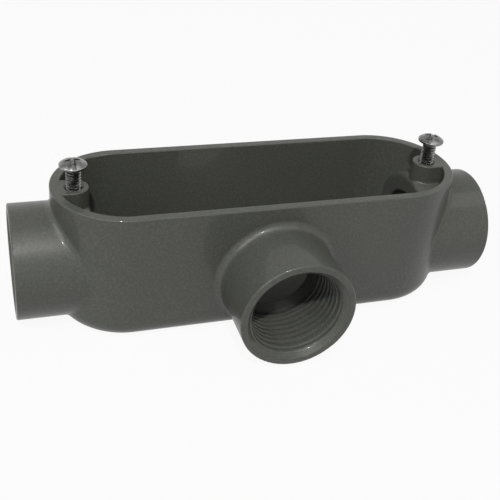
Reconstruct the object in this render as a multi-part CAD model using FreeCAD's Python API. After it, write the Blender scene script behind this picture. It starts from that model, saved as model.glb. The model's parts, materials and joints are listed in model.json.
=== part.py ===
"""Threaded conduit body, T form: one aluminium casting and its two cover screws.

The frame's origin is the centre of the flat bottom, on the plane that it stands on.
+X runs along the two end hubs, -Y points out of the branch hub and +Z out of the open top.
Sizes are in millimetres.
"""
import FreeCAD
import Part

import math
import os

from FreeCAD import Vector

# --- Hubs -------------------------------------------------------------------------------
THREAD_ROOT_RADIUS = 13.2   # plain bore, at the root of a 3/4-14 pipe thread
THREAD_DEPTH = 16.0         # from the hub's face to the shoulder behind the thread
MOUTH_FLARE = 0.65          # how much wider the mouth is than the bore, on the radius
MOUTH_DEPTH = 2.6           # length of the cone that leads into the thread
THROAT_STEP = 2.8           # how far the bushing's throat stands inside the bore's wall
THROAT_EDGE_RADIUS = 0.8    # rounding that wires are pulled over
HUB_WALL = 2.4              # metal around the thread's root
HUB_LIFT = 1.0              # gap between the hubs and the plane the body stands on
END_HUB_LENGTH = 10.65      # how far an end hub stands out of the box
BRANCH_HUB_LENGTH = 18.1    # how far the branch hub stands out of the long wall
END_HUB_DEPTH = 21.0        # from an end hub's face to the inner end of its collar
HUB_EDGE_RADIUS = 0.5       # outer edge of each hub's face
HUB_FILLET_RADIUS = 2.0     # where a hub leaves the box
COLLAR_STEP = 0.8           # how much wider a collar, inside the box, is than its hub
COLLAR_EDGE_RADIUS = 1.9    # outer edge of a collar's face
LAND_RISE = 5.7             # from the hubs' axis to the land that joins a collar to the walls

# --- Box --------------------------------------------------------------------------------
STRAIGHT_HALF = 38.1        # half the straight stretch between the round ends
SHOULDER = 3.75             # how much wider the box is than a hub, each side
HEADROOM = 5.9              # from the top of the hubs to the rim
RIM_WALL = 2.5
FLOOR_THICKNESS = 2.8
DRAFT_DEG = 0.5             # every wall leans this much, so that the casting leaves its die
BOTTOM_EDGE_RADIUS = 6.2
INNER_EDGE_RADIUS = 3.6     # between the floor and the walls, inside
RIM_EDGE_RADIUS = 0.35

# --- Screws and their bosses ------------------------------------------------------------
SCREW_RADIUS = 2.083        # number 8 screw, over its thread
SCREW_CLEARANCE = 0.05
SCREW_LENGTH = 9.5          # under the head
SCREW_TIP_CHAMFER = 0.45
HEAD_RADIUS = 3.62
HEAD_EDGE_HEIGHT = 0.6
HEAD_DOME_HEIGHT = 1.4
HEAD_EDGE_RADIUS = 0.25
SLOT_WIDTH = 1.15
SLOT_DEPTH = 1.0
CROSS_WIDTH = 0.95          # width of each wing of the cross recess
CROSS_SPAN_TOP = 4.3
CROSS_SPAN_BOTTOM = 1.5
CROSS_DEPTH = 1.7
LEFT_STAND = 5.9            # the underside of the left head stands this far above the rim
RIGHT_STAND = 6.5
LEFT_SLOT_DEG = 90.0
RIGHT_SLOT_DEG = 35.0
BOSS_WALL = 1.8             # metal around the tapped hole
BOSS_FILLET_RADIUS = 0.6    # where a boss stands on its collar
SCREW_INSET = 6.15          # from the outside of the box's round end to the screw's axis
HOLE_FLARE = 0.5            # countersink at the mouth of the tapped hole, on the radius
WEB_UNDER_HOLE = 1.0        # metal left between the tapped hole and the hub's thread

# --- Worked out from the values above -----------------------------------------------------
DRAFT = math.tan(math.radians(DRAFT_DEG))
HUB_RADIUS = THREAD_ROOT_RADIUS + HUB_WALL
MOUTH_RADIUS = THREAD_ROOT_RADIUS + MOUTH_FLARE
THROAT_RADIUS = THREAD_ROOT_RADIUS - THROAT_STEP
COLLAR_RADIUS = HUB_RADIUS + COLLAR_STEP
AXIS_HEIGHT = HUB_LIFT + HUB_RADIUS
BOX_HALF_WIDTH = HUB_RADIUS + SHOULDER
BOX_HEIGHT = AXIS_HEIGHT + HUB_RADIUS + HEADROOM
CAVITY_HALF_WIDTH = BOX_HALF_WIDTH - RIM_WALL
END_REACH = STRAIGHT_HALF + BOX_HALF_WIDTH + END_HUB_LENGTH
BRANCH_REACH = BOX_HALF_WIDTH + BRANCH_HUB_LENGTH
COLLAR_FACE = END_REACH - END_HUB_DEPTH
HOLE_RADIUS = SCREW_RADIUS + SCREW_CLEARANCE
BOSS_RADIUS = HOLE_RADIUS + BOSS_WALL
SCREW_OFFSET = STRAIGHT_HALF + BOX_HALF_WIDTH - SCREW_INSET
HOLE_BOTTOM = AXIS_HEIGHT + THREAD_ROOT_RADIUS + WEB_UNDER_HOLE

UP = Vector(0, 0, 1)
OVERCUT = 1.0               # how far a cutting tool runs past the face that it opens


def racetrack(rim_half_width, low, high):
    """Solid with straight sides and round ends, its walls leaning out towards the top.

    rim_half_width is measured at the rim's height, wherever low and high are.
    """
    low_radius = rim_half_width - (BOX_HEIGHT - low) * DRAFT
    high_radius = rim_half_width - (BOX_HEIGHT - high) * DRAFT
    section = Part.makePolygon([
        Vector(-STRAIGHT_HALF, -low_radius, low),
        Vector(-STRAIGHT_HALF, low_radius, low),
        Vector(-STRAIGHT_HALF, high_radius, high),
        Vector(-STRAIGHT_HALF, -high_radius, high),
        Vector(-STRAIGHT_HALF, -low_radius, low),
    ])
    middle = Part.Face(section).extrude(Vector(2 * STRAIGHT_HALF, 0, 0))
    ends = [
        Part.makeCone(low_radius, high_radius, high - low, Vector(x, 0, low), UP)
        for x in (-STRAIGHT_HALF, STRAIGHT_HALF)
    ]
    return middle.fuse(ends).removeSplitter()


def edges_at_height(shape, height):
    """The edges that lie flat at one height."""
    return [
        edge for edge in shape.Edges
        if edge.BoundBox.ZLength < 1e-6 and abs(edge.BoundBox.ZMin - height) < 1e-6
    ]


def edge_middle(edge):
    return edge.valueAt((edge.FirstParameter + edge.LastParameter) / 2)


def circle_at(shape, centre, radius):
    """The round edges of one radius about one centre."""
    return [
        edge for edge in shape.Edges
        if not edge.Degenerated
        and isinstance(edge.Curve, Part.Circle)
        and abs(edge.Curve.Radius - radius) < 1e-6
        and edge.Curve.Center.distanceToPoint(centre) < 1e-6
    ]


def hub_axis(direction):
    """A point on the axis of the hubs, in the middle of the box, and its way out."""
    return Vector(0, 0, AXIS_HEIGHT), Vector(*direction)


def rod(direction, start, end, radius, rounded_end, rounding):
    """Cylinder on a hub's axis from start to end, with the edge at rounded_end rounded."""
    origin, outward = hub_axis(direction)
    cylinder = Part.makeCylinder(radius, end - start, origin + outward * start, outward)
    edges = circle_at(cylinder, origin + outward * rounded_end, radius)
    return cylinder.makeFillet(rounding, edges)


def bore_tool(direction, reach, depth):
    """What a hub's mouth, thread and throat take out, as one turned shape."""
    throat_end = depth - THROAT_EDGE_RADIUS
    lip_radius = THROAT_RADIUS + THROAT_EDGE_RADIUS
    bend = THROAT_EDGE_RADIUS * (1 - math.sqrt(0.5))
    before_lip = [
        (-OVERCUT, 0),
        (-OVERCUT, MOUTH_RADIUS),
        (0, MOUTH_RADIUS),
        (MOUTH_DEPTH, THREAD_ROOT_RADIUS),
        (THREAD_DEPTH, THREAD_ROOT_RADIUS),
        (THREAD_DEPTH, THROAT_RADIUS),
        (throat_end, THROAT_RADIUS),
    ]
    after_lip = [
        (depth, lip_radius),
        (depth + OVERCUT, lip_radius),
        (depth + OVERCUT, 0),
        (-OVERCUT, 0),
    ]
    origin, outward = hub_axis(direction)
    across = UP

    def place(point):
        inward, radius = point
        return origin + outward * (reach - inward) + across * radius

    lip = Part.Arc(
        place(before_lip[-1]),
        place((depth - bend, THROAT_RADIUS + bend)),
        place(after_lip[0]),
    )
    outline = Part.Wire(
        Part.makePolygon([place(point) for point in before_lip]).Edges
        + [lip.toShape()]
        + Part.makePolygon([place(point) for point in after_lip]).Edges
    )
    return Part.Face(outline).revolve(origin, outward, 360)


def junction_edges(shape, direction):
    """The curves along which a hub's outside meets the outside of the box."""
    origin, outward = hub_axis(direction)
    found = []
    for edge in shape.Edges:
        arm = edge_middle(edge) - origin
        along = arm.dot(outward)
        radial = (arm - outward * along).Length
        curved = not isinstance(edge.Curve, (Part.Circle, Part.Line))
        if curved and along > 0 and abs(radial - HUB_RADIUS) < 1e-3:
            found.append(edge)
    return found


HUBS = {
    "right": ((1, 0, 0), END_REACH),
    "left": ((-1, 0, 0), END_REACH),
    "branch": ((0, -1, 0), BRANCH_REACH),
}


def outside():
    """The casting as a full block: the box and its three hubs, blended."""
    shape = racetrack(BOX_HALF_WIDTH, 0, BOX_HEIGHT)
    shape = shape.makeFillet(BOTTOM_EDGE_RADIUS, edges_at_height(shape, 0))
    for direction, reach in HUBS.values():
        shape = shape.fuse(rod(direction, 0, reach, HUB_RADIUS, reach, HUB_EDGE_RADIUS))
    for direction, _ in HUBS.values():
        shape = shape.makeFillet(HUB_FILLET_RADIUS, junction_edges(shape, direction))
    return shape


def end_fittings():
    """What stands inside the box at its right end: the collar, its land and the screw's boss."""
    right = (1, 0, 0)
    collar = rod(right, COLLAR_FACE, END_REACH, COLLAR_RADIUS, COLLAR_FACE, COLLAR_EDGE_RADIUS)
    boss_foot = AXIS_HEIGHT + THREAD_ROOT_RADIUS
    boss_height = BOX_HEIGHT - boss_foot
    nose = Part.makeCylinder(BOSS_RADIUS, boss_height, Vector(SCREW_OFFSET, 0, boss_foot), UP)
    web = Part.makeBox(
        END_REACH - SCREW_OFFSET,
        2 * BOSS_RADIUS,
        boss_height,
        Vector(SCREW_OFFSET, -BOSS_RADIUS, boss_foot),
    )
    shape = collar.fuse(nose.fuse(web).removeSplitter())
    foot_edges = [edge for edge in shape.Edges if isinstance(edge.Curve, Part.BSplineCurve)]
    shape = shape.makeFillet(BOSS_FILLET_RADIUS, foot_edges)
    land_start = COLLAR_FACE + COLLAR_EDGE_RADIUS
    land = Part.makeBox(
        END_REACH - land_start,
        2 * BOX_HALF_WIDTH,
        AXIS_HEIGHT + LAND_RISE,
        Vector(land_start, -BOX_HALF_WIDTH, 0),
    )
    return shape.fuse(land)


def cavity():
    """The room inside the box, less what stands in it at both ends."""
    room = racetrack(CAVITY_HALF_WIDTH, FLOOR_THICKNESS, BOX_HEIGHT)
    room = room.makeFillet(INNER_EDGE_RADIUS, edges_at_height(room, FLOOR_THICKNESS))
    right_end = end_fittings()
    left_end = right_end.mirror(Vector(0, 0, 0), Vector(1, 0, 0))
    return room.cut([right_end, left_end])


def tapped_hole(side):
    """What the cover screw's hole and its countersink take out of a boss."""
    foot = Vector(side * SCREW_OFFSET, 0, HOLE_BOTTOM)
    hole = Part.makeCylinder(HOLE_RADIUS, BOX_HEIGHT - HOLE_BOTTOM + OVERCUT, foot, UP)
    countersink = Part.makeCone(
        HOLE_RADIUS,
        HOLE_RADIUS + HOLE_FLARE + OVERCUT,
        HOLE_FLARE + OVERCUT,
        Vector(side * SCREW_OFFSET, 0, BOX_HEIGHT - HOLE_FLARE),
        UP,
    )
    return hole.fuse(countersink)


def casting():
    """The whole casting, opened, bored and with the edges of its rim eased."""
    shape = outside().cut(cavity())
    shape = shape.makeFillet(RIM_EDGE_RADIUS, edges_at_height(shape, BOX_HEIGHT))
    branch_wall = CAVITY_HALF_WIDTH - (BOX_HEIGHT - AXIS_HEIGHT) * DRAFT
    tools = [
        bore_tool((1, 0, 0), END_REACH, END_HUB_DEPTH),
        bore_tool((-1, 0, 0), END_REACH, END_HUB_DEPTH),
        bore_tool((0, -1, 0), BRANCH_REACH, BRANCH_REACH - branch_wall),
        tapped_hole(-1),
        tapped_hole(1),
    ]
    return shape.cut(tools)


def screw_head():
    """The screw's domed head, its underside on z = 0, before the driver recess."""
    dome_radius = (HEAD_RADIUS ** 2 + HEAD_DOME_HEIGHT ** 2) / (2 * HEAD_DOME_HEIGHT)
    top = HEAD_EDGE_HEIGHT + HEAD_DOME_HEIGHT
    half_angle = math.asin(HEAD_RADIUS / dome_radius) / 2
    rim = Vector(HEAD_RADIUS, 0, HEAD_EDGE_HEIGHT)
    crown = Vector(0, 0, top)
    on_dome = Vector(
        dome_radius * math.sin(half_angle),
        0,
        top - dome_radius * (1 - math.cos(half_angle)),
    )
    foot = Vector(0, 0, 0)
    corner = Vector(HEAD_RADIUS, 0, 0)
    outline = Part.Wire([
        Part.makeLine(foot, corner),
        Part.makeLine(corner, rim),
        Part.Arc(rim, on_dome, crown).toShape(),
        Part.makeLine(crown, foot),
    ])
    head = Part.Face(outline).revolve(foot, UP, 360)
    edges = circle_at(head, foot, HEAD_RADIUS)
    return head.makeFillet(HEAD_EDGE_RADIUS, edges)


def driver_recess():
    """A slot right across the head, and the cross recess in its middle."""
    top = HEAD_EDGE_HEIGHT + HEAD_DOME_HEIGHT
    slot = Part.makeBox(
        2 * HEAD_RADIUS + OVERCUT,
        SLOT_WIDTH,
        SLOT_DEPTH + OVERCUT,
        Vector(-HEAD_RADIUS - OVERCUT / 2, -SLOT_WIDTH / 2, top - SLOT_DEPTH),
    )
    outline = Part.makePolygon([
        Vector(-CROSS_SPAN_BOTTOM / 2, -CROSS_WIDTH / 2, top - CROSS_DEPTH),
        Vector(CROSS_SPAN_BOTTOM / 2, -CROSS_WIDTH / 2, top - CROSS_DEPTH),
        Vector(CROSS_SPAN_TOP / 2, -CROSS_WIDTH / 2, top),
        Vector(-CROSS_SPAN_TOP / 2, -CROSS_WIDTH / 2, top),
        Vector(-CROSS_SPAN_BOTTOM / 2, -CROSS_WIDTH / 2, top - CROSS_DEPTH),
    ])
    wing = Part.Face(outline).extrude(Vector(0, CROSS_WIDTH, 0))
    other_wing = wing.copy()
    other_wing.rotate(Vector(0, 0, 0), UP, 90)
    return slot.fuse([wing, other_wing])


def cover_screw(side, stand, slot_deg):
    """One cover screw in its boss, its head standing above the rim."""
    shank = Part.makeCylinder(SCREW_RADIUS, SCREW_LENGTH, Vector(0, 0, -SCREW_LENGTH), UP)
    tip = circle_at(shank, Vector(0, 0, -SCREW_LENGTH), SCREW_RADIUS)
    shank = shank.makeChamfer(SCREW_TIP_CHAMFER, tip)
    screw = screw_head().fuse(shank).removeSplitter().cut(driver_recess())
    screw.rotate(Vector(0, 0, 0), UP, slot_deg)
    screw.translate(Vector(side * SCREW_OFFSET, 0, BOX_HEIGHT + stand))
    return screw


PIECES = {
    "body": casting(),
    "left_cover_screw": cover_screw(-1, LEFT_STAND, LEFT_SLOT_DEG),
    "right_cover_screw": cover_screw(1, RIGHT_STAND, RIGHT_SLOT_DEG),
}

os.makedirs("parts", exist_ok=True)
for name, piece in PIECES.items():
    piece.exportStep(f"parts/{name}.step")
    print(name, len(piece.Solids), "solid, valid:", piece.isValid(), "volume", round(piece.Volume, 1))
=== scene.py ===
"""Threaded conduit body, T form: the finish of its casting, its hub threads, its cover screws
and the studio that it stands in.

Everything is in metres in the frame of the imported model: the origin is the centre of the flat
bottom, +X runs along the end hubs, -Y points out of the branch hub and +Z out of the open top.
"""

import json
import math

import bmesh
import bpy
from mathutils import Matrix, Vector


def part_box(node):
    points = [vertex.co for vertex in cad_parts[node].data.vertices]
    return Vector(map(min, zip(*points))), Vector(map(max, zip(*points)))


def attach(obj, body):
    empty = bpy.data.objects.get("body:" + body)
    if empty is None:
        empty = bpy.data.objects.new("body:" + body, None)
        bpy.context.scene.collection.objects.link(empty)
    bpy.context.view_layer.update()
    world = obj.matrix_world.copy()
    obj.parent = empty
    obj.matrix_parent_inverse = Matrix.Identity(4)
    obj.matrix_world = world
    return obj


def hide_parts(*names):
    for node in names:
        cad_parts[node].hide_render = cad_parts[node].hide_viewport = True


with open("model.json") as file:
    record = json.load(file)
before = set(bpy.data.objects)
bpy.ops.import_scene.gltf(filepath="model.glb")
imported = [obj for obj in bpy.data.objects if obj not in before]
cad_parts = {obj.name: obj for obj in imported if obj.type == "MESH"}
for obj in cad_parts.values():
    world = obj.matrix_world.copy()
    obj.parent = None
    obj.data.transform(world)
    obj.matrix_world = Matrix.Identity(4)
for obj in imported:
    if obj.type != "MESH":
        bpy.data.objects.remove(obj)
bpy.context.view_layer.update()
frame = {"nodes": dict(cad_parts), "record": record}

MM = 0.001
MOUNTS = {mount["name"]: mount for mount in frame["record"]["mounts"]}
TURN = 2 * math.pi

# --- Pipe thread in the hubs, 14 turns to the inch, tapered -----------------------------------
HUB_PITCH = 25.4 / 14 * MM
HUB_BORE_RADIUS = MOUNTS["branch_hub"]["dims"]["r_mm"] * MM
MOUTH_RADIUS = 13.85 * MM           # of the cone at a hub's face, in the casting
MOUTH_DEPTH = 2.6 * MM              # where that cone meets the bore
HUB_THREAD_START = 0.06 * MM        # behind the hub's face
HUB_THREAD_END = 15.95 * MM         # at the shoulder behind the thread
HUB_ROOT_RADIUS = 12.85 * MM        # at the hub's face
HUB_CREST_RADIUS = 11.98 * MM       # at the hub's face
HUB_TAPER = 1 / 32                  # how much the radius shrinks with depth
HUB_LEAD_SLOPE = 1.0                # of the chamfer that leads into the first turn
HUB_LEAD_DROP = 1.25 * MM           # how far that chamfer reaches in
HUB_RUN_IN_SLOPE = 0.16             # of the cone behind it, which cuts the first turns' crests
HUB_CREST_SHARE = 0.46              # of the pitch that is flat at the crest
HUB_ROOT_SHARE = 0.07               # of the pitch that is flat at the root
HUB_SINK = 0.25 * MM                # how far the thread's back lies in the hub's wall
HUB_SEGMENTS = 160                  # round the thread
HUB_SMOOTH_DEG = 28                 # edges sharper than this stay sharp in the shading

# --- Cover screws, number 8 with 32 turns to the inch -----------------------------------------
SCREW_PITCH = 25.4 / 32 * MM
SCREW_CREST_RADIUS = 1.99 * MM
SCREW_ROOT_RADIUS = 1.55 * MM
SCREW_CREST_SHARE = 0.16            # of the pitch that is flat at the crest
SCREW_ROOT_SHARE = 0.14             # of the pitch that is flat at the root
SCREW_NECK = 0.95 * MM              # length over which the thread grows out of the neck
SCREW_NECK_START = 0.3              # share of that length that stays bare under the head
SCREW_NECK_SHARE = 0.35             # how full the bare neck is, from the root to the crest
SCREW_TIP = 0.55 * MM               # length of the chamfer at the tip
SCREW_SINK = 0.3 * MM               # how far the shank reaches up into the head
SCREW_SEGMENTS = 72                 # round the shank
SCREW_SMOOTH_DEG = 30               # edges sharper than this stay sharp in the shading

HEAD_HEIGHT = 2.0 * MM              # of the crown over the underside
HEAD_EDGE_HEIGHT = 0.6 * MM         # of the upright edge round the dome
HEAD_EDGE_ROUNDING = 0.22 * MM
DOME_HEIGHT = HEAD_HEIGHT - HEAD_EDGE_HEIGHT
DOME_RINGS = 9
DOME_TIP_ANGLE = 0.02               # in radians, of the last ring before it becomes a point
HEAD_SEGMENTS = 96                  # round the head

SLOT_WIDTH = 1.05 * MM
SLOT_DEPTH = 1.3 * MM               # from the crown
SLOT_TURN_DEG = {"left": 90.0, "right": 50.0}
CROSS_WIDTH = 0.9 * MM
CROSS_DEPTH = 1.75 * MM             # from the crown
CROSS_REACH = 2.35 * MM             # of each wing, from the axis, at the crown's height
CROSS_FOOT = 0.6 * MM               # of each wing, from the axis, at the recess's bottom
CROSS_SPARE = 0.6 * MM              # how far a wing's cutter stands over the crown
RECESS_EDGE = 0.07 * MM             # rounding of the recess's edges
RECESS_DEPTH = "recess_depth"       # a head's own attribute, from 0 at the dome to 1
RECESS_SHARE = 0.93                 # of the head's radius that the recess stays within

MERGE_WITHIN = 0.0005 * MM          # points of a swept form that lie closer are one

# --- Camera -----------------------------------------------------------------------------------
CAMERA_PLACE = Vector((-73.85, -187.77, 143.92)) * MM
CAMERA_YAW_DEG = 19.98              # to the right of +Y
CAMERA_PITCH_DEG = 31.58            # below the horizon
CAMERA_ROLL_DEG = 5.56              # anticlockwise, as seen from behind the camera
LENS_MM = 59.32
SENSOR_MM = 36.0                    # width
SHIFT_X = 0.026                     # of the sensor, in its own widths
SHIFT_Y = -0.0463
CLIP_START = 10 * MM                # nothing nearer is drawn

# --- Studio -----------------------------------------------------------------------------------
FLOOR_SIZE = 6.0                    # so that its edge lies far behind the object
FLOOR_DROP = 0.05 * MM              # below the casting's bottom, so that the two don't mix
FLOOR_GLOW = 0.93                   # share of plain white in the floor, the rest takes the shadow
FLOOR_GREY = 0.45                   # the floor's own colour, where its shadow falls
ROOM_HIGH = 0.6                     # brightness of the room overhead, where its walls are 1
ROOM_FADE = (0.15, 0.8)             # from walls to overhead, as the upward part of a direction
ROOM_LIGHT = 0.2                    # share of the room's brightness that lights the object
LAMP_AIM = Vector((0, 0, 20)) * MM


# --- Shader values as Python expressions ------------------------------------------------------
class Value:
    """A number, colour or shader that a material's nodes work out."""

    def __init__(self, finish, socket):
        self.finish = finish
        self.socket = socket

    def math(self, operation, *inputs, **settings):
        sockets = dict(enumerate(inputs))
        return self.finish.node("ShaderNodeMath", {"operation": operation, **settings}, sockets)

    def __add__(self, other):
        return self.math("ADD", self, other)

    def __radd__(self, other):
        return self.math("ADD", other, self)

    def __sub__(self, other):
        return self.math("SUBTRACT", self, other)

    def __mul__(self, other):
        return self.math("MULTIPLY", self, other)

    def __rmul__(self, other):
        return self.math("MULTIPLY", other, self)

    def clamped(self):
        """The value held between 0 and 1."""
        return self.math("ADD", self, 0.0, use_clamp=True)

    def contrast(self, gain, shift):
        """The value stretched by a gain, lowered by a shift and held between 0 and 1."""
        return (self * gain - shift).clamped()


class Finish:
    """A node tree with one shader, and the one way in which its nodes are added."""

    def __init__(self, owner, shader):
        owner.use_nodes = True
        self.owner = owner
        self.tree = owner.node_tree
        self.shader = self.tree.nodes[shader]

    def node(self, kind, settings=None, sockets=None, output=0):
        """Adds a node: its settings first, then the values or links of its sockets."""
        node = self.tree.nodes.new(kind)
        for name, value in (settings or {}).items():
            if name == "stops":
                self.set_stops(node.color_ramp, value)
            else:
                setattr(node, name, value)
        for name, value in (sockets or {}).items():
            self.feed(node.inputs[name], value)
        return Value(self, node.outputs[output])

    def set_stops(self, ramp, stops):
        while len(ramp.elements) < len(stops):
            ramp.elements.new(1.0)
        for element, (position, color) in zip(ramp.elements, stops):
            element.position = position
            element.color = (*color, 1.0)

    def feed(self, socket, value):
        if isinstance(value, Value):
            self.tree.links.new(value.socket, socket)
        else:
            socket.default_value = value

    def set(self, **values):
        """Sets the shader's own sockets, named with underscores for spaces."""
        for name, value in values.items():
            self.feed(self.shader.inputs[name.replace("_", " ")], value)

    def place(self):
        """Where a point is, in metres, whatever the piece's pose."""
        return self.node("ShaderNodeTexCoord", output="Object")

    def noise(self, size, detail):
        """Noise from 0 to 1 whose lumps are about size metres across."""
        sockets = {"Vector": self.place(), "Scale": 1 / size, "Detail": detail}
        return self.node("ShaderNodeTexNoise", sockets=sockets, output="Fac")

    def mixed(self, share, first, second):
        """A colour between two others; sockets 6 and 7 are the node's two colours."""
        sockets = {"Factor": share, 6: first, 7: second}
        return self.node("ShaderNodeMix", {"data_type": "RGBA"}, sockets, output=2)

    def bump(self, height, distance, under=None):
        """A normal for relief up to distance metres high, on top of another bump's normal."""
        sockets = {"Height": height, "Distance": distance, "Strength": 1.0}
        if under is not None:
            sockets["Normal"] = under
        return self.node("ShaderNodeBump", sockets=sockets)


def new_material(name):
    return Finish(bpy.data.materials.new(name), "Principled BSDF")


# --- Materials --------------------------------------------------------------------------------
COAT_GREY = (0.0530, 0.0545, 0.0445, 1)
COAT_COOL = (0.0505, 0.0540, 0.0475, 1)     # in the clouds
COAT_PALE = (0.0760, 0.0780, 0.0680, 1)     # in the grain
COAT_PALE_SHARE = 0.75                      # of the pale colour where the grain is strongest
ZINC_BRIGHT = (0.31, 0.315, 0.30, 1)
ZINC_DULL = (0.12, 0.125, 0.115, 1)
# painted shade: a near-black colour that darkens the heads' recesses more the deeper they go
RECESS_PAINTED_SHADE = (0.02, 0.02, 0.018, 1)
PAINTED_SHADE_SHARE = 0.75                          # of the painted shade's colour at the slot's bottom


def powder_coat():
    """Grey powder coat: a soft sheen, faint orange peel and fine grain, under a thin gloss."""
    coat = new_material("grey_powder_coat")
    cloud = coat.noise(22 * MM, detail=3.0)
    grain = coat.noise(0.6 * MM, detail=1.5)
    peel = coat.noise(1.7 * MM, detail=1.0)
    tint = coat.mixed(cloud.contrast(2.4, 0.7), COAT_GREY, COAT_COOL)
    color = coat.mixed(grain.contrast(3.0, 1.2) * COAT_PALE_SHARE, tint, COAT_PALE)
    fine = coat.bump(grain, 0.022 * MM)
    coat.set(
        Base_Color=color,
        Roughness=0.42 + 0.10 * (cloud - 0.5),
        Specular_IOR_Level=0.26,
        Coat_Weight=0.25,
        Coat_Roughness=0.08,
        Normal=coat.bump(peel, 0.02 * MM, under=fine),
    )
    return coat.owner


def zinc_plate():
    """Bright zinc on cold-headed steel: small dimples, duller patches, painted shade in the
    recess.
    """
    zinc = new_material("zinc_plate")
    patch = zinc.noise(1.1 * MM, detail=3.0)
    dimple = zinc.noise(0.5 * MM, detail=2.0)
    plate = zinc.mixed(patch.contrast(2.6, 0.8), ZINC_DULL, ZINC_BRIGHT)
    deep = zinc.node("ShaderNodeAttribute", {"attribute_name": RECESS_DEPTH}, output="Fac")
    zinc.set(
        # painted shade: the zinc turns towards near-black with depth in the recess
        Base_Color=zinc.mixed(deep * deep * PAINTED_SHADE_SHARE, plate, RECESS_PAINTED_SHADE),
        Metallic=1.0,
        Roughness=0.17 + 0.14 * patch,
        Normal=zinc.bump(dimple, 0.045 * MM),
    )
    return zinc.owner


# --- Modelling helpers ------------------------------------------------------------------------
def start_piece():
    """Leaves edit mode with nothing selected, so that the next operator meets only new work."""
    if bpy.context.object and bpy.context.object.mode != "OBJECT":
        bpy.ops.object.mode_set(mode="OBJECT")
    bpy.ops.object.select_all(action="DESELECT")


def piece_from_mesh(name, mesh):
    """An object in the scene, selected and active."""
    start_piece()
    piece = bpy.data.objects.new(name, mesh)
    bpy.context.scene.collection.objects.link(piece)
    bpy.context.view_layer.objects.active = piece
    piece.select_set(True)
    return piece


def turned_mesh(name, outline, segments):
    """A closed form swept once round Z, from an outline of (radius, height) for each angle.

    Points of one outline that fall together are merged, and so are the sweep's two ends.
    """
    form = bmesh.new()
    columns = []
    for step in range(segments + 1):
        angle = TURN * step / segments
        column = [
            form.verts.new((radius * math.cos(angle), radius * math.sin(angle), height))
            for radius, height in outline(angle)
        ]
        columns.append(column)
    rows = len(columns[0])
    for left, right in zip(columns, columns[1:]):
        for row in range(rows):
            after = (row + 1) % rows
            form.faces.new((left[row], right[row], right[after], left[after]))
    bmesh.ops.remove_doubles(form, verts=form.verts, dist=MERGE_WITHIN)
    bmesh.ops.recalc_face_normals(form, faces=form.faces)
    mesh = bpy.data.meshes.new(name)
    form.to_mesh(mesh)
    form.free()
    return mesh


def ridge(phase, crest_share, root_share):
    """Height of a thread's profile, from 0 at the root to 1 at the crest, in one pitch."""
    away = abs(phase % 1.0 - 0.5) * 2
    flank = (away - crest_share) / (1 - crest_share - root_share)
    return min(max(1 - flank, 0.0), 1.0)


def thread_phases(crest_share, root_share):
    """Where a pitch needs points: in the root, at the ends and middle of each flank, on the crest.

    A phase runs from 0 in the middle of the root, over 0.5 in the middle of the crest, to 1.
    """
    crest = crest_share / 2
    root = 0.5 - root_share / 2
    flank = [crest, (crest + root) / 2, root]
    before = [0.5 - away for away in reversed(flank)]
    after = [0.5 + away for away in flank]
    return [0.0, *before, 0.5, *after]


def thread_points(angle, pitch, start, end, phases, radius):
    """The (radius, depth) points of a thread's side in the half plane at one angle.

    Every angle gives the same number of points. Those past an end are held at that end.
    """
    shift = angle / TURN
    first = math.floor(start / pitch) - 2
    last = math.ceil(end / pitch) + 1
    points = []
    for turn in range(first, last + 1):
        for phase in phases:
            depth = (turn + phase + shift) * pitch
            held = min(max(depth, start), end)
            points.append((radius(held, (held / pitch - shift) % 1.0), held))
    return points


# --- Hub threads ------------------------------------------------------------------------------
def hub_thread_radius(depth, phase):
    """Inner radius of the threaded wall, cut back by the two cones that lead into it."""
    height = ridge(phase, HUB_CREST_SHARE, HUB_ROOT_SHARE)
    root = HUB_ROOT_RADIUS - depth * HUB_TAPER
    crest = HUB_CREST_RADIUS - depth * HUB_TAPER
    inside = depth - HUB_THREAD_START
    drop = min(inside * HUB_LEAD_SLOPE, HUB_LEAD_DROP + inside * HUB_RUN_IN_SLOPE)
    lead = MOUTH_RADIUS - drop
    return max(root + (crest - root) * height, lead)


def hub_thread_mesh(name):
    """The threaded wall of a hub, its mouth at z = 0 and its depth along +Z."""
    phases = thread_phases(HUB_CREST_SHARE, HUB_ROOT_SHARE)
    wall = HUB_BORE_RADIUS + HUB_SINK
    mouth = MOUTH_RADIUS + HUB_SINK

    def outline(angle):
        inner = thread_points(
            angle, HUB_PITCH, HUB_THREAD_START, HUB_THREAD_END, phases, hub_thread_radius
        )
        outer = [(wall, HUB_THREAD_END), (wall, MOUTH_DEPTH)]
        return [(mouth, HUB_THREAD_START), *inner, *outer]

    return turned_mesh(name, outline, HUB_SEGMENTS)


def hub_face(mount):
    """The middle of a hub's face, and the axis out of it.

    The face is at the end of the casting that the bore's mount points to.
    """
    place = Vector(mount["pos_m"])
    axis = Vector(mount["axis"])
    reach = max(corner.dot(axis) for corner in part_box("body"))
    return place + axis * (reach - place.dot(axis)), axis


def hub_thread(side, coat):
    """The pipe thread of one hub, its turns running inward from the hub's mouth."""
    name = side + "_hub_thread"
    face, axis = hub_face(MOUNTS[side + "_hub"])
    piece = piece_from_mesh(name, hub_thread_mesh(name))
    inward = (-axis).to_track_quat("Z", "X").to_matrix().to_4x4()
    piece.data.transform(Matrix.Translation(face) @ inward)
    bpy.ops.object.shade_smooth_by_angle(angle=math.radians(HUB_SMOOTH_DEG))
    piece.data.materials.append(coat)
    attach(piece, "body")


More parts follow.
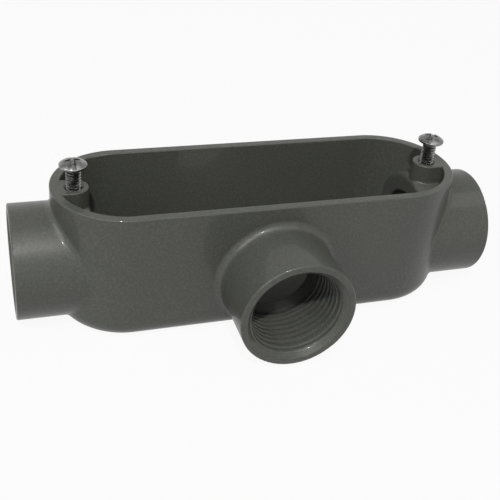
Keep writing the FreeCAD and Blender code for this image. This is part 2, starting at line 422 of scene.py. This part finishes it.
# --- Cover screws -----------------------------------------------------------------------------
def shank_mesh(name, length):
    """The threaded shank: its top is sunk in the head, over z = 0, and its tip is chamfered."""
    phases = thread_phases(SCREW_CREST_SHARE, SCREW_ROOT_SHARE)
    thread_height = SCREW_CREST_RADIUS - SCREW_ROOT_RADIUS

    def radius(depth, phase):
        height = ridge(phase, SCREW_CREST_SHARE, SCREW_ROOT_SHARE)
        grown = min(max(depth / SCREW_NECK - SCREW_NECK_START, 0.0), 1.0)
        neck = SCREW_ROOT_RADIUS + SCREW_NECK_SHARE * (1 - grown) * thread_height
        full = neck + (SCREW_CREST_RADIUS - neck) * height * grown
        tip = SCREW_CREST_RADIUS - SCREW_TIP + (length - depth)
        return min(full, tip)

    def outline(angle):
        side = thread_points(angle, SCREW_PITCH, -SCREW_SINK, length, phases, radius)
        points = [(0.0, -SCREW_SINK), *side, (0.0, length)]
        return [(distance, -depth) for distance, depth in points]

    return turned_mesh(name, outline, SCREW_SEGMENTS)


def extrude_up(distance):
    bpy.ops.mesh.extrude_region_move(TRANSFORM_OT_translate={"value": (0, 0, distance)})


def sphere_radius(radius):
    """Radius of the sphere that a head's dome is a cap of."""
    return (radius ** 2 + DOME_HEIGHT ** 2) / (2 * DOME_HEIGHT)


def dome_head(radius):
    """The domed head, its underside on z = 0, built up ring by ring from a disc."""
    sphere = sphere_radius(radius)
    start_piece()
    bpy.ops.mesh.primitive_circle_add(vertices=HEAD_SEGMENTS, radius=radius, fill_type="NGON")
    head = bpy.context.object
    bpy.ops.object.mode_set(mode="EDIT")
    bpy.ops.mesh.select_all(action="SELECT")
    extrude_up(HEAD_EDGE_HEIGHT)
    steepest = math.asin(radius / sphere)
    for ring in range(DOME_RINGS):
        angle = steepest * (1 - ring / DOME_RINGS)
        after = steepest * (1 - (ring + 1) / DOME_RINGS)
        extrude_up(sphere * (math.cos(after) - math.cos(angle)))
        shrink = math.sin(max(after, DOME_TIP_ANGLE)) / math.sin(angle)
        bpy.ops.transform.resize(value=(shrink, shrink, 1))
    bpy.ops.mesh.merge(type="CENTER")
    bpy.ops.mesh.select_all(action="SELECT")
    bpy.ops.mesh.normals_make_consistent(inside=False)
    bpy.ops.object.mode_set(mode="OBJECT")
    round_edge(head, HEAD_EDGE_ROUNDING, segments=4, sharper_than_deg=60)
    return head


def round_edge(piece, width, segments, sharper_than_deg):
    """Rounds a piece's sharp edges, with a modifier that is then applied."""
    bpy.context.view_layer.objects.active = piece
    bevel = piece.modifiers.new("rounding", "BEVEL")
    bevel.width = width
    bevel.segments = segments
    bevel.limit_method = "ANGLE"
    bevel.angle_limit = math.radians(sharper_than_deg)
    bpy.ops.object.modifier_apply(modifier=bevel.name)


def box_cutter(size, place):
    """A block to cut with, given by its whole size and its middle."""
    start_piece()
    bpy.ops.mesh.primitive_cube_add(size=1, location=place)
    cutter = bpy.context.object
    cutter.scale = size
    bpy.ops.object.transform_apply(location=True, rotation=False, scale=True)
    return cutter


def slot_cutter(radius):
    """The slot: a block right across the head, with its middle at the crown."""
    return box_cutter((3 * radius, SLOT_WIDTH, 2 * SLOT_DEPTH), (0, 0, HEAD_HEIGHT))


def wing_cutter(turn_deg):
    """Two opposite wings of the cross recess: a blade that narrows towards the bottom."""
    depth = CROSS_DEPTH + CROSS_SPARE
    middle = (0, 0, HEAD_HEIGHT + CROSS_SPARE - depth / 2)
    cutter = box_cutter((2 * CROSS_REACH, CROSS_WIDTH, depth), middle)
    slope = (CROSS_REACH - CROSS_FOOT) / CROSS_DEPTH
    for vertex in cutter.data.vertices:
        foot = vertex.co.z < HEAD_HEIGHT
        reach = CROSS_FOOT if foot else CROSS_REACH + CROSS_SPARE * slope
        vertex.co.x = math.copysign(reach, vertex.co.x)
    cutter.data.transform(Matrix.Rotation(math.radians(turn_deg), 4, "Z"))
    return cutter


def cut(piece, cutter):
    """Takes a cutter out of a piece and removes the cutter."""
    bpy.context.view_layer.objects.active = piece
    boolean = piece.modifiers.new("recess", "BOOLEAN")
    boolean.operation = "DIFFERENCE"
    boolean.solver = "EXACT"
    boolean.object = cutter
    bpy.ops.object.modifier_apply(modifier=boolean.name)
    bpy.data.objects.remove(cutter)


def mark_recess(head, radius):
    """Notes how deep each point of a head lies under its dome, for the painted shade in the
    recess.
    """
    sphere = sphere_radius(radius)
    marks = head.data.attributes.new(RECESS_DEPTH, "FLOAT", "POINT")
    for vertex, mark in zip(head.data.vertices, marks.data):
        away = math.hypot(vertex.co.x, vertex.co.y)
        fall = sphere - math.sqrt(sphere ** 2 - min(away, radius) ** 2)
        depth = HEAD_HEIGHT - fall - vertex.co.z
        inner = away < RECESS_SHARE * radius
        mark.value = min(max(depth / SLOT_DEPTH, 0), 1) if inner else 0


def screw_head(radius):
    """A domed head with its combined slot and cross recess."""
    head = dome_head(radius)
    for cutter in (slot_cutter(radius), wing_cutter(0), wing_cutter(90)):
        cut(head, cutter)
    round_edge(head, RECESS_EDGE, segments=2, sharper_than_deg=35)
    mark_recess(head, radius)
    return head


def cover_screw(side, zinc):
    """A cover screw, threaded, in the place of the plain one and as long and wide as it."""
    node = side + "_cover_screw"
    low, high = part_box(node)
    middle = (low + high) / 2
    underside = high.z - HEAD_HEIGHT
    head = screw_head((high.x - low.x) / 2)
    shank = piece_from_mesh(node + "_shank", shank_mesh(node + "_shank", underside - low.z))
    start_piece()
    shank.select_set(True)
    head.select_set(True)
    bpy.context.view_layer.objects.active = head
    bpy.ops.object.join()
    head.name = side + "_screw"
    turn = Matrix.Rotation(math.radians(SLOT_TURN_DEG[side]), 4, "Z")
    head.data.transform(Matrix.Translation((middle.x, middle.y, underside)) @ turn)
    bpy.ops.object.shade_smooth_by_angle(angle=math.radians(SCREW_SMOOTH_DEG))
    head.data.materials.clear()
    head.data.materials.append(zinc)
    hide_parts(node)
    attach(head, side + "_screw")


# --- Studio -----------------------------------------------------------------------------------
def camera():
    """The camera, in front of the object's left end and above it, looking down to the right."""
    data = bpy.data.cameras.new("studio_camera")
    data.lens = LENS_MM
    data.sensor_width = SENSOR_MM
    data.shift_x = SHIFT_X
    data.shift_y = SHIFT_Y
    data.clip_start = CLIP_START
    holder = bpy.data.objects.new("studio_camera", data)
    bpy.context.scene.collection.objects.link(holder)
    turn = (
        Matrix.Rotation(math.radians(-CAMERA_YAW_DEG), 4, "Z")
        @ Matrix.Rotation(math.radians(90 - CAMERA_PITCH_DEG), 4, "X")
        @ Matrix.Rotation(math.radians(CAMERA_ROLL_DEG), 4, "Z")
    )
    holder.matrix_world = Matrix.Translation(CAMERA_PLACE) @ turn
    bpy.context.scene.camera = holder


def lamp(name, azimuth_deg, elevation_deg, distance, size, power):
    """A round lamp that faces the object. Azimuth 0 is in front, on -Y, and grows towards +X."""
    azimuth = math.radians(azimuth_deg)
    elevation = math.radians(elevation_deg)
    way = Vector((
        math.cos(elevation) * math.sin(azimuth),
        -math.cos(elevation) * math.cos(azimuth),
        math.sin(elevation),
    ))
    data = bpy.data.lights.new(name, "AREA")
    data.shape = "DISK"
    data.size = size
    data.energy = power
    holder = bpy.data.objects.new(name, data)
    bpy.context.scene.collection.objects.link(holder)
    turn = way.to_track_quat("Z", "Y").to_matrix().to_4x4()
    holder.matrix_world = Matrix.Translation(LAMP_AIM + way * distance) @ turn


def seen_directly(finish):
    """1 where the camera, a reflection or a clear body sees the surface, else 0."""
    rays = [
        finish.node("ShaderNodeLightPath", output=name)
        for name in ("Is Camera Ray", "Is Glossy Ray", "Is Transmission Ray")
    ]
    return (rays[0] + rays[1] + rays[2]).clamped()


def floor():
    """A white floor that takes the object's shadow."""
    start_piece()
    bpy.ops.mesh.primitive_plane_add(size=FLOOR_SIZE, location=(0, 0, -FLOOR_DROP))
    ground = bpy.context.object
    ground.name = "floor"
    white = new_material("floor_white")
    white.set(Base_Color=(FLOOR_GREY,) * 3 + (1,), Roughness=0.9)
    glow = white.node("ShaderNodeEmission", sockets={"Color": (1, 1, 1, 1), "Strength": 1.0})
    matte = Value(white, white.shader.outputs[0])
    share = seen_directly(white) * FLOOR_GLOW
    shown = white.node("ShaderNodeMixShader", sockets={0: share, 1: matte, 2: glow})
    output = white.tree.nodes["Material Output"]
    white.feed(output.inputs["Surface"], shown)
    ground.data.materials.append(white.owner)


def room():
    """A room with white walls, greyer overhead, that lights the object less than it shows."""
    world = bpy.data.worlds.new("studio")
    bpy.context.scene.world = world
    air = Finish(world, "Background")
    way = air.node("ShaderNodeTexCoord", output="Generated")
    height = air.node("ShaderNodeSeparateXYZ", sockets={"Vector": way}, output="Z")
    stops = [(ROOM_FADE[0], (1.0,) * 3), (ROOM_FADE[1], (ROOM_HIGH,) * 3)]
    walls = air.node("ShaderNodeValToRGB", {"stops": stops}, {"Fac": height})
    strength = ROOM_LIGHT + (1 - ROOM_LIGHT) * seen_directly(air)
    air.set(Color=walls, Strength=strength)


def studio():
    """Floor, room and camera, a small hard lamp for the highlights and three large soft ones."""
    floor()
    room()
    lamp("key_lamp", azimuth_deg=-19, elevation_deg=52, distance=0.9, size=0.035, power=5.6)
    lamp("left_fill", azimuth_deg=-68, elevation_deg=42, distance=1.2, size=0.8, power=6)
    lamp("top_fill", azimuth_deg=-12, elevation_deg=67, distance=1.2, size=0.9, power=2)
    lamp("right_fill", azimuth_deg=60, elevation_deg=62, distance=1.2, size=0.8, power=2)
    bpy.context.scene.view_settings.view_transform = "Standard"
    camera()


# --- The whole object -------------------------------------------------------------------------
def build():
    """Gives the casting its coat, then adds the hub threads and the cover screws."""
    coat = powder_coat()
    zinc = zinc_plate()
    for name, node in frame["nodes"].items():
        node.data.materials.clear()
        node.data.materials.append(coat if name == "body" else zinc)
    for side in ("right", "left", "branch"):
        hub_thread(side, coat)
    for side in ("left", "right"):
        cover_screw(side, zinc)


build()
studio()
